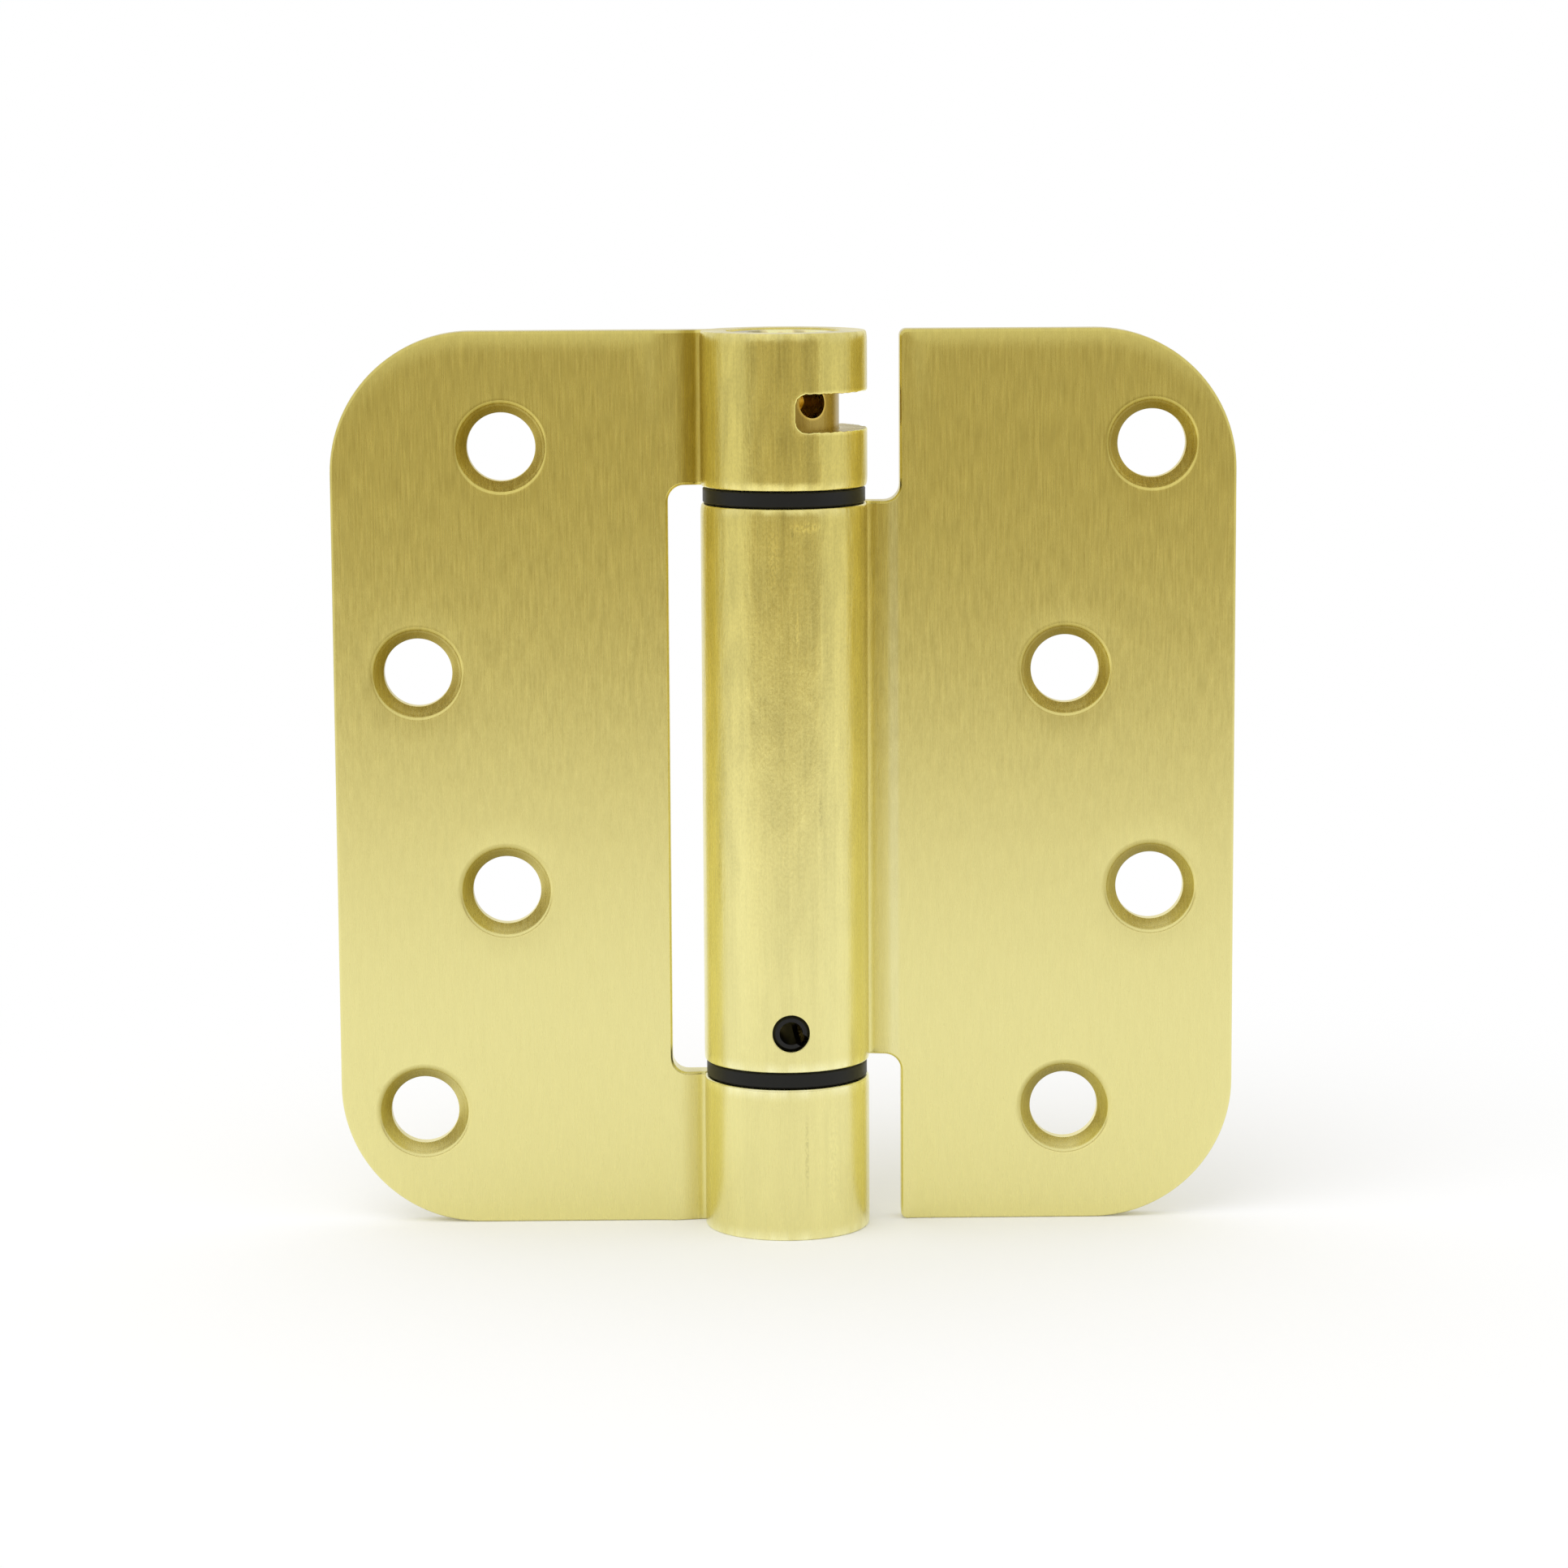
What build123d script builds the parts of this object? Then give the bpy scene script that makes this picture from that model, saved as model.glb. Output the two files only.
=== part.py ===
from build123d import *
from math import acos, atan2, cos, degrees, pi, radians, sin, sqrt
import os

# Self-closing butt hinge, 4 in x 4 in, open flat. All sizes in millimetres.
# The barrel axis is Z, +X is the door leaf, and -Y is the countersunk side, to which
# the leaves close. The origin is on the barrel axis at mid height.

# Leaves
LEAF_HEIGHT = 101.6
LEAF_WIDTH = 50.8  # axis to free edge
SHEET = 3.1
FACE_SETBACK = 0.8  # axis to countersunk face, half the gap between closed leaves
CORNER_RADIUS = 15.875
EDGE_TO_AXIS = 13.0  # axis to the leaf edge beside the other leaf's knuckles
NOTCH_RADIUS = 1.8
FREE_CORNER_RADIUS = 0.8
EDGE_BREAK = 0.25

# Rolled knuckles
BORE_DIAMETER = 12.5
MIDDLE_KNUCKLE = 63.2
SWAGE_INSET = 0.3  # leaf edge to where its face starts to slope back
SEAM_SETBACK = 1.4  # axis to the face that the rolled edge butts on
SEAM_GAP = 0.15
BACK_BEND = 1.5

# Washers between the knuckles
WASHER_THICKNESS = 1.8
WASHER_INSET = 0.25  # barrel surface to washer rim
WASHER_EDGE = 0.2
AXIAL_PLAY = 0.05

# Screw holes, two columns on each leaf
SCREW_HOLE = 7.7
SINK_DIAMETER = 10.2
SINK_ANGLE = 82
INNER_COLUMN = 31.65
OUTER_COLUMN = 41.35
END_ROW = 37.85
MIDDLE_ROW = 12.45

# Window in the top knuckle, angles from the front towards +X
WINDOW_HEIGHT = 4.2
WINDOW_TO_END = 8.76  # top of the barrel to the window's centre
WINDOW_START = 7.6
WINDOW_END = 172.4
WINDOW_CORNER = 1.2

# Plugs, the journals that the middle knuckle turns on
PLUG_CLEARANCE = 0.05
PLUG_RECESS = 0.2
PLUG_EDGE = 0.5
HEX_FLATS = 6.35
HEX_DEPTH = 5.0
HEX_MOUTH = 8.25
CROSS_HOLE = 3.3
CROSS_HOLE_RISE = 0.9  # above the window's centre
CROSS_HOLE_ANGLE = 31.0
ADJUSTER_REACH = 8.0  # into the middle knuckle
ANCHOR_REACH = 10.1

# Torsion spring, coiled left-handed, with a tang across each end
WIRE = 2.5
SPRING_TURNS = 12
SPRING_TO_BORE = 0.4
SPRING_END_PLAY = 0.3
TANG_BEND = 1.5
NOSE_TO_COIL = 0.5
NOSE_TIP = 1.0  # nose beyond the tang
TANG_CLEARANCE = 0.2
TANG_END_GAP = 0.6  # tang tip to the far side of the coil
STEPS_PER_TURN = 14
BEND_STEPS = 4
WIRE_SIDES = 8

# Slotted spring pin through the middle knuckle's front into the anchor plug
PIN_HOLE = 4.15
PIN_CLEARANCE = 0.025
PIN_WALL = 0.75
PIN_SLIT = 1.3
PIN_SLIT_ANGLE = -33.0
PIN_TO_END = 4.5  # lower end of the middle knuckle to the pin
PIN_ANGLE = 2.4
PIN_RECESS = 0.3
PIN_EDGE = 0.3

# Sizes that follow from those above
top = LEAF_HEIGHT / 2
leaf_back = FACE_SETBACK + SHEET
swage_end = EDGE_TO_AXIS - SWAGE_INSET
bore_radius = BORE_DIAMETER / 2
barrel_radius = bore_radius + SHEET
middle_end = MIDDLE_KNUCKLE / 2
washer_start = middle_end + AXIAL_PLAY
knuckle_start = washer_start + WASHER_THICKNESS + AXIAL_PLAY
window_z = top - WINDOW_TO_END
plug_radius = bore_radius - PLUG_CLEARANCE
plug_end = top - PLUG_RECESS
adjuster_shoulder = middle_end - ADJUSTER_REACH
anchor_shoulder = ANCHOR_REACH - middle_end
coil_radius = bore_radius - SPRING_TO_BORE - WIRE / 2
coil_inner = coil_radius - WIRE / 2
tang_inset = SPRING_END_PLAY + WIRE / 2
coil_top = adjuster_shoulder - tang_inset
coil_bottom = anchor_shoulder + tang_inset
coil_slope = atan2((coil_top - coil_bottom) / SPRING_TURNS, 2 * pi * coil_radius)
tang_turn = acos(-TANG_BEND / (coil_radius - TANG_BEND))
nose_radius = coil_inner - NOSE_TO_COIL
nose_length = SPRING_END_PLAY + WIRE + NOSE_TIP
pin_radius = PIN_HOLE / 2 - PIN_CLEARANCE
pin_z = PIN_TO_END - middle_end
clear_of_all = 2 * LEAF_WIDTH

os.makedirs("parts", exist_ok=True)


def finish(part, name):
    """Labels a piece and writes its file."""
    part.label = name
    export_step(part, f"parts/{name}.step")


def facing_out(angle, height):
    """Plane through the barrel axis that faces out, at an angle from the front towards +X."""
    across = (cos(radians(angle)), sin(radians(angle)), 0)
    outward = (sin(radians(angle)), -cos(radians(angle)), 0)
    return Plane(origin=(0, 0, height), x_dir=across, z_dir=outward)


def rolled_section():
    """Door leaf's section across the barrel: a roll whose edge butts on the leaf's face."""
    seam_x = sqrt(barrel_radius**2 - SEAM_SETBACK**2)
    with BuildSketch(Plane.XY) as section:
        Circle(barrel_radius)
        with Locations((clear_of_all / 2, SEAM_SETBACK - SEAM_GAP / 2)):
            Rectangle(clear_of_all, SEAM_GAP, mode=Mode.SUBTRACT)
        with BuildLine():
            Polyline(
                (bore_radius, SEAM_SETBACK),
                (seam_x, SEAM_SETBACK),
                (swage_end, FACE_SETBACK),
                (LEAF_WIDTH, FACE_SETBACK),
                (LEAF_WIDTH, leaf_back),
                (bore_radius, leaf_back),
                close=True,
            )
        make_face()
        inside_bend = section.vertices().sort_by_distance((barrel_radius, leaf_back))[0]
        fillet(inside_bend, BACK_BEND)
        Circle(bore_radius, mode=Mode.SUBTRACT)
    return section.sketch


def corners_at(leaf, x):
    """The two edges through the sheet at a leaf's top and bottom corners."""
    through = leaf.edges().filter_by(Axis.Y)
    column = through.filter_by(lambda e: abs(e.center().X - x) < EDGE_BREAK)
    return column.filter_by(lambda e: abs(e.center().Z) > top - EDGE_BREAK)


def outline_edges(leaf):
    """Edges round a leaf's two faces and its knuckles' ends, but not its bend lines."""
    edges = leaf.edges()
    flat = edges.filter_by_position(Axis.Y, FACE_SETBACK, FACE_SETBACK)
    flat += edges.filter_by_position(Axis.Y, leaf_back, leaf_back)
    bends = flat.filter_by(Axis.Z).filter_by(lambda e: abs(e.center().X) < (swage_end + EDGE_TO_AXIS) / 2)
    rounds = edges.filter_by(GeomType.CIRCLE)
    ends = rounds.filter_by(lambda e: abs(e.radius - barrel_radius) < PLUG_CLEARANCE)
    return flat - bends + ends


def screw_seats(side):
    """Planes on a leaf's face, at its screws. Half a turn about Y swaps the leaves' screws."""
    places = [
        (INNER_COLUMN, MIDDLE_ROW),
        (INNER_COLUMN, -END_ROW),
        (OUTER_COLUMN, END_ROW),
        (OUTER_COLUMN, -MIDDLE_ROW),
    ]
    return [Plane(origin=(side * x, FACE_SETBACK, side * z), z_dir=(0, -1, 0)) for x, z in places]


def tang_points(end_z, up):
    """Points that carry on from a coil's end at +X: a bend, then the tang's tip past the axis."""
    centre = Vector(coil_radius - TANG_BEND, 0, end_z)
    out = Vector(TANG_BEND, 0, 0)
    along = Vector(0, -up * cos(coil_slope), up * sin(coil_slope)) * TANG_BEND
    turns = [tang_turn * step / BEND_STEPS for step in range(1, BEND_STEPS + 1)]
    bend = [centre + out * cos(turn) + along * sin(turn) for turn in turns]
    axis_point = Vector(0, 0, end_z)
    inward = (axis_point - bend[-1]).normalized()
    return bend + [axis_point + inward * (coil_inner - TANG_END_GAP)]


def tang_angle(end_z, up):
    """Direction of a tang seen from above, in degrees from +X."""
    start, tip = tang_points(end_z, up)[-2:]
    return degrees(atan2(start.Y - tip.Y, start.X - tip.X))


# Frame leaf: one sheet, rolled at its top and bottom
with BuildPart() as frame_leaf:
    with BuildSketch(Plane.XY.offset(-top)):
        mirror(rolled_section(), about=Plane.YZ)
    extrude(amount=LEAF_HEIGHT)
    fillet(corners_at(frame_leaf, -LEAF_WIDTH), CORNER_RADIUS)
    with BuildSketch(Plane.XZ):
        with Locations((clear_of_all / 2 - EDGE_TO_AXIS, 0)):
            notch = Rectangle(clear_of_all, 2 * knuckle_start)
        fillet(notch.vertices().group_by(Axis.X)[0], NOTCH_RADIUS)
    extrude(amount=clear_of_all, both=True, mode=Mode.SUBTRACT)
    chamfer(outline_edges(frame_leaf), EDGE_BREAK)
    with Locations(*screw_seats(-1)):
        CounterSinkHole(SCREW_HOLE / 2, SINK_DIAMETER / 2, counter_sink_angle=SINK_ANGLE)
    with BuildSketch(Plane.XY.offset(window_z - WINDOW_HEIGHT / 2)):
        with BuildLine():
            rim = CenterArc((0, 0), 2 * barrel_radius, WINDOW_START - 90, WINDOW_END - WINDOW_START)
            Polyline(rim @ 0, (0, 0), rim @ 1)
        make_face()
    extrude(amount=WINDOW_HEIGHT, mode=Mode.SUBTRACT)
    across_sheet = frame_leaf.edges(Select.LAST).filter_by(GeomType.LINE).filter_by(Axis.Z, reverse=True)
    fillet(across_sheet, WINDOW_CORNER)
finish(frame_leaf.part, "frame_leaf")

# Door leaf: one sheet, rolled in the middle, with the spring pin's hole
with BuildPart() as door_leaf:
    with BuildSketch(Plane.XY.offset(-top)):
        add(rolled_section())
    extrude(amount=LEAF_HEIGHT)
    fillet(corners_at(door_leaf, LEAF_WIDTH), CORNER_RADIUS)
    with BuildSketch(Plane.XZ) as gaps:
        gap_z = middle_end + clear_of_all / 2
        with Locations((EDGE_TO_AXIS - clear_of_all / 2, gap_z), (EDGE_TO_AXIS - clear_of_all / 2, -gap_z)):
            Rectangle(clear_of_all, clear_of_all)
        fillet(gaps.vertices().sort_by_distance((EDGE_TO_AXIS, 0))[:2], NOTCH_RADIUS)
    extrude(amount=clear_of_all, both=True, mode=Mode.SUBTRACT)
    fillet(corners_at(door_leaf, EDGE_TO_AXIS), FREE_CORNER_RADIUS)
    chamfer(outline_edges(door_leaf), EDGE_BREAK)
    with Locations(*screw_seats(1)):
        CounterSinkHole(SCREW_HOLE / 2, SINK_DIAMETER / 2, counter_sink_angle=SINK_ANGLE)
    with BuildSketch(facing_out(PIN_ANGLE, pin_z)):
        Circle(PIN_HOLE / 2)
    extrude(amount=clear_of_all, mode=Mode.SUBTRACT)
finish(door_leaf.part, "door_leaf")

# Upper washer
with BuildPart() as upper_washer:
    with BuildSketch(Plane.XY.offset(washer_start)):
        Circle(barrel_radius - WASHER_INSET)
        Circle(bore_radius, mode=Mode.SUBTRACT)
    extrude(amount=WASHER_THICKNESS)
    chamfer(upper_washer.edges().filter_by(GeomType.CIRCLE).group_by(SortBy.RADIUS)[-1], WASHER_EDGE)
finish(upper_washer.part, "upper_washer")

# Lower washer
with BuildPart() as lower_washer:
    mirror(upper_washer.part, about=Plane.XY)
finish(lower_washer.part, "lower_washer")

# Adjusting plug: hex socket on top, cross holes behind the window, slotted nose below
with BuildPart() as adjusting_plug:
    with BuildSketch(Plane.XY.offset(plug_end)):
        Circle(plug_radius)
    extrude(amount=adjuster_shoulder - plug_end)
    chamfer(adjusting_plug.edges().group_by(Axis.Z)[-1], PLUG_EDGE)
    with BuildSketch(Plane.XY.offset(adjuster_shoulder)):
        Circle(nose_radius)
    extrude(amount=-nose_length)
    with BuildSketch(Plane.XY.offset(adjuster_shoulder)):
        Rectangle(clear_of_all, WIRE + 2 * TANG_CLEARANCE, rotation=tang_angle(coil_top, 1))
    extrude(amount=-nose_length, mode=Mode.SUBTRACT)
    with BuildSketch(Plane.XY.offset(plug_end)):
        RegularPolygon(HEX_FLATS / 2, 6, major_radius=False)
    extrude(amount=-HEX_DEPTH, mode=Mode.SUBTRACT)
    with BuildSketch(Plane.XY.offset(plug_end)):
        Circle(HEX_MOUTH / 2)
    extrude(amount=-(HEX_MOUTH - HEX_FLATS) / 2, taper=45, mode=Mode.SUBTRACT)
    for angle in (CROSS_HOLE_ANGLE, CROSS_HOLE_ANGLE + 90):
        with BuildSketch(facing_out(angle, window_z + CROSS_HOLE_RISE)):
            Circle(CROSS_HOLE / 2)
        extrude(amount=plug_radius * 2, both=True, mode=Mode.SUBTRACT)
finish(adjusting_plug.part, "adjusting_plug")

# Anchor plug: cross-drilled for the spring pin, slotted nose above
with BuildPart() as anchor_plug:
    with BuildSketch(Plane.XY.offset(-plug_end)):
        Circle(plug_radius)
    extrude(amount=anchor_shoulder + plug_end)
    chamfer(anchor_plug.edges().group_by(Axis.Z)[0], PLUG_EDGE)
    with BuildSketch(Plane.XY.offset(anchor_shoulder)):
        Circle(nose_radius)
    extrude(amount=nose_length)
    with BuildSketch(Plane.XY.offset(anchor_shoulder)):
        Rectangle(clear_of_all, WIRE + 2 * TANG_CLEARANCE, rotation=tang_angle(coil_bottom, -1))
    extrude(amount=nose_length, mode=Mode.SUBTRACT)
    with BuildSketch(facing_out(PIN_ANGLE, pin_z)):
        Circle(PIN_HOLE / 2)
    extrude(amount=plug_radius * 2, both=True, mode=Mode.SUBTRACT)
finish(anchor_plug.part, "anchor_plug")

# Spring pin: a slotted tube from the knuckle's front to the far side of the anchor plug
with BuildPart() as spring_pin:
    pin_front = barrel_radius - PIN_RECESS
    pin_back = sqrt(plug_radius**2 - pin_radius**2)
    with BuildSketch(facing_out(PIN_ANGLE, pin_z).offset(pin_front)):
        Circle(pin_radius)
        Circle(pin_radius - PIN_WALL, mode=Mode.SUBTRACT)
        Rectangle(PIN_HOLE, PIN_SLIT, rotation=PIN_SLIT_ANGLE, align=(Align.MIN, Align.CENTER),
                  mode=Mode.SUBTRACT)
    extrude(amount=-(pin_front + pin_back))
    chamfer(spring_pin.edges().filter_by(GeomType.CIRCLE).group_by(SortBy.RADIUS)[-1], PIN_EDGE)
finish(spring_pin.part, "spring_pin")

# Torsion spring: a coil of short straight lengths, whose ends bend in to the tangs
with BuildPart() as torsion_spring:
    steps = SPRING_TURNS * STEPS_PER_TURN
    coil = [
        Vector(coil_radius, 0, coil_bottom + (coil_top - coil_bottom) * step / steps).rotate(
            Axis.Z, -360 * step / STEPS_PER_TURN)
        for step in range(steps + 1)
    ]
    with BuildLine() as wire:
        Polyline(*reversed(tang_points(coil_bottom, -1)), *coil, *tang_points(coil_top, 1))
    path = wire.wires()[0]
    with BuildSketch(Plane(origin=path @ 0, z_dir=path % 0)):
        RegularPolygon(WIRE / 2, WIRE_SIDES, major_radius=False)
    sweep(path=path, transition=Transition.RIGHT)
finish(torsion_spring.part, "torsion_spring")
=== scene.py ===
"""Looks of a self-closing hinge, open flat, in satin brass. Sizes are in millimetres."""

from math import asin, atan2, cos, degrees, hypot, pi, radians, sin, sqrt, tan

import bpy
import numpy as np
from mathutils import Matrix, Vector
from mathutils.geometry import delaunay_2d_cdt


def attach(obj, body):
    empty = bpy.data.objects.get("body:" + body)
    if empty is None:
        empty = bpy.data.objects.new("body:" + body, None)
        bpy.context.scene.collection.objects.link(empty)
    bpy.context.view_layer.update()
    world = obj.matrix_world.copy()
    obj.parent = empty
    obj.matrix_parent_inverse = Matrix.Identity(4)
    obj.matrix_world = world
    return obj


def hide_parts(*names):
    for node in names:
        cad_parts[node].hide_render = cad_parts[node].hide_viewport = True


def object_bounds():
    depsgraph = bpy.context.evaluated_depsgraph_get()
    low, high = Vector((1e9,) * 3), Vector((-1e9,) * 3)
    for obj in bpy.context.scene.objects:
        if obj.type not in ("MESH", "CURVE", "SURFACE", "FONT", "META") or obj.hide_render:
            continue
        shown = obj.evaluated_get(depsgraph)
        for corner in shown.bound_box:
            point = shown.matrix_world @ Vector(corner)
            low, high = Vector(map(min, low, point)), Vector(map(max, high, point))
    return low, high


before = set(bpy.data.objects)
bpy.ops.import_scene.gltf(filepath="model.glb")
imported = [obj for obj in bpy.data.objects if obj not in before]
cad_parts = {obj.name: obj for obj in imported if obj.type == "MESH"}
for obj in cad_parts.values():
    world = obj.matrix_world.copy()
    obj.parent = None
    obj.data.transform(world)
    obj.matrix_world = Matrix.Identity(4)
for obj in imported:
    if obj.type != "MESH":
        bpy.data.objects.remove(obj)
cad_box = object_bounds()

MM = 0.001
rng = np.random.default_rng(7)

# Leaves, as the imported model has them
HEIGHT = 101.6
WIDTH = 50.8
SHEET = 3.1
FACE = 0.8
CORNER = 15.875
EDGE = 13.0
NOTCH_RADIUS = 1.8
FREE_CORNER = 0.8
SWAGE_END = 12.7
SEAM_SETBACK = 1.4
SEAM_GAP = 0.15
BACK_BEND = 1.5
BORE = 6.25
BARREL = cad_box[1].y / MM
BACK = FACE + SHEET
TOP = HEIGHT / 2
FRAME_KNUCKLE = 33.5
DOOR_KNUCKLE = 31.6

# Soft edges, worn by the brushing
EDGE_ROUND = 0.35
BACK_ROUND = 0.25
ROLL_CORNER = 0.4
CROWN_WIDTH = 3.0
CROWN_DEPTH = 0.22
CROWN_FADE = 1.5
KNUCKLE_CROWN_WIDTH = 1.1
KNUCKLE_CROWN_DEPTH = 0.12
LOW_RIM_SHARE = 0.15
RAGGED = 0.35
HALO_WIDTH = 3.2
HALO_DEPTH = 0.04
SWAGE_SOFT = 0.25
SEAM_FILLET_WIDTH = 0.6
SEAM_FILLET = 0.09
ROLL_FADE_START = 1.5
ROLL_FADE_LENGTH = 2.0
ROLL_END_FADE = 1.0

# Screw holes
SCREW = 3.85
SINK = 5.1
SINK_HALF_ANGLE = radians(41)
SINK_ROUND = 0.5
HOLE_ROUND = 0.15
INNER_COLUMN = 31.65
OUTER_COLUMN = 41.35
END_ROW = 37.85
MIDDLE_ROW = 12.45

# Painted light and shade on the leaves. A tone makes the brass lighter or darker, and a tint moves its
# colour
# Painted shade in the countersinks, darker up one side, and a painted reflection paler down the other
SINK_SOFT = 0.5
SINK_DARK_SIDE = (-0.5, 0.87)
SINK_TINT = 0.45
SINK_TONE = -0.05
SINK_DARK_TONE = 0.35
SINK_PALE_TONE = 0.45
SINK_PALE_TINT = 0.3
# Painted shade in a darker golden strip beside the seam, and a painted highlight on the door leaf's stripe
STRIP_EDGE = SWAGE_END - 0.6
STRIP_SOFT = 1.2
STRIP_ELSEWHERE = 0.4
FILLET_SOFT = 0.3
STRIPE_START = 11.5
STRIPE_END = 12.95
STRIPE_SOFT = (0.4, 0.3)
STRIPE_LOW_SHARE = 0.3
# Painted highlights on the knuckles' rims
RIM_WIDTH = 1.3
RIM_TONE = 0.14
RIM_TINT = 0.8
RIM_RAGGED = 0.8
# Painted highlight on the seam's fillet
SEAM_TONE = 0.15
# Painted highlight on the window's outer lip, and painted shade on its cut walls
LIP_WIDTH = 0.4
LIP_TONE = 0.45
CUT_TINT = 0.8
# Painted reflection that pales the barrel's sides
LIMB_START = 0.8
LIMB_TONE = 0.12
LIMB_LOW_SHARE = 0.2
# Heights over which the painted stripe and the barrel's painted pale sides fade in
PAINTED_LIGHT_LOW = -30.0
PAINTED_LIGHT_HIGH = 20.0

# Window and pin hole in the roll, angles from the front towards +X
WINDOW_Z = 42.04
WINDOW_HEIGHT = 4.2
WINDOW_START = 7.6
WINDOW_END = 172.4
WINDOW_CORNER = 1.2
WINDOW_ROUGHNESS = 0.05
CROSS_HOLE = 1.65
CROSS_HOLE_Z = WINDOW_Z + 0.9
CROSS_HOLE_ANGLES = (radians(31), radians(121))
# Painted light on the walls round the plug's cross holes
CROSS_HOLE_EDGE = (CROSS_HOLE + 0.05, CROSS_HOLE + 0.3)
CROSS_HOLE_TONE = 0.8
PIN_HOLE = 2.075
PIN_ANGLE = 2.4
PIN_Z = -27.1

# Mesh steps
ROLL_STEP = 3.0  # degrees
ARC_STEPS = 30
SMALL_ARC_STEPS = 8
EDGE_STEP = 2.5
ROUND_STEPS = 4
SWAGE_STEPS = 26
BEND_STEPS = 8
HOLE_STEPS = 96
PIN_HOLE_STEPS = 64
WINDOW_STEPS = 90
RAGGED_STEPS = 160
EDGE_LIMIT = WIDTH - EDGE - EDGE_STEP
FACE_INSETS = (0.5, 0.9, 1.4, 2.0, 2.6, 4.5)
HALO_SHARES = (0.08, 0.25, 0.5, 0.75, 1)
COLUMN_GAP = 0.12
COLUMN_STEPS = (COLUMN_GAP, 0.3, 0.55, 0.85, 1.2)


def sheet_section():
    """Stations along the door leaf's sheet, from its free edge to the rolled edge.

    Each row is (run, front x, front y, back x, back y); the front becomes the bore."""
    seam_x = sqrt(BARREL**2 - SEAM_SETBACK**2)
    slope = (SEAM_SETBACK - FACE) / (SWAGE_END - seam_x)
    rows = []
    bend_x = sqrt((BARREL + BACK_BEND) ** 2 - (BACK + BACK_BEND) ** 2)
    flat = np.array([WIDTH, EDGE + 2, EDGE + 0.6, EDGE + 0.2])
    swage = np.linspace(EDGE, seam_x, SWAGE_STEPS)
    for x in np.concatenate([flat, swage]):
        soft = (SWAGE_END - x + hypot(SWAGE_END - x, SWAGE_SOFT)) / 2
        near = max(0.0, seam_x + SEAM_FILLET_WIDTH - x) / SEAM_FILLET_WIDTH
        y = FACE + slope * soft - SEAM_FILLET * near**2
        if x > EDGE + 1:
            y = FACE
        rows.append((WIDTH - x, x, y, max(x, bend_x), BACK))
    bend_start = rows[-1][0]
    turn = pi / 2 - atan2(BACK + BACK_BEND, bend_x)
    for i in range(1, BEND_STEPS + 1):
        share = i / BEND_STEPS
        angle = -pi / 2 - turn * share
        rows.append((
            bend_start + BACK_BEND * turn * share,
            seam_x + (sqrt(BORE**2 - SEAM_SETBACK**2) - seam_x) * share,
            SEAM_SETBACK,
            bend_x + BACK_BEND * cos(angle),
            BACK + BACK_BEND + BACK_BEND * sin(angle),
        ))
    roll_start = rows[-1][0]
    first = degrees(atan2(BACK + BACK_BEND, bend_x))
    end_y = SEAM_SETBACK - SEAM_GAP
    last = 360 + degrees(asin(end_y / BARREL))
    bore_first = degrees(asin(SEAM_SETBACK / BORE))
    bore_last = 360 + degrees(asin(end_y / BORE))
    for outer in np.linspace(first, last, round((last - first) / ROLL_STEP) + 1)[1:]:
        inner = np.interp(outer, [first, 60, 340, last], [bore_first, 60, 340, bore_last])
        rows.append((
            roll_start + BARREL * radians(outer - first),
            BORE * cos(radians(inner)), BORE * sin(radians(inner)),
            BARREL * cos(radians(outer)), BARREL * sin(radians(outer)),
        ))
    return np.array(rows), roll_start, first


SECTION, ROLL_START, ROLL_FIRST = sheet_section()
RUN_END = SECTION[-1, 0]


def run_at(angle):
    """Run along the sheet at an angle of the roll, in degrees from +X."""
    return ROLL_START + BARREL * radians(angle - ROLL_FIRST)


def section_frames():
    """Front normals, back normals and run directions at the section's stations."""
    run = SECTION[:, 0]
    front, back = SECTION[:, 1:3], SECTION[:, 3:5]

    def across(curve, other):
        step = np.gradient(curve, run, axis=0)
        normal = np.stack([step[:, 1], -step[:, 0]], 1)
        normal *= np.sign(np.sum(normal * (curve - other), 1))[:, None]
        return normal / np.linalg.norm(normal, axis=1)[:, None]

    along = np.gradient((front + back) / 2, run, axis=0)
    return across(front, back), across(back, front), along / np.linalg.norm(along, axis=1)[:, None]


FRONT_NORMAL, BACK_NORMAL, ALONG = section_frames()


def at_run(run, table):
    """A two-column table of the section, read at these runs."""
    return np.stack([np.interp(run, SECTION[:, 0], table[:, i]) for i in range(2)], 1)


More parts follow.
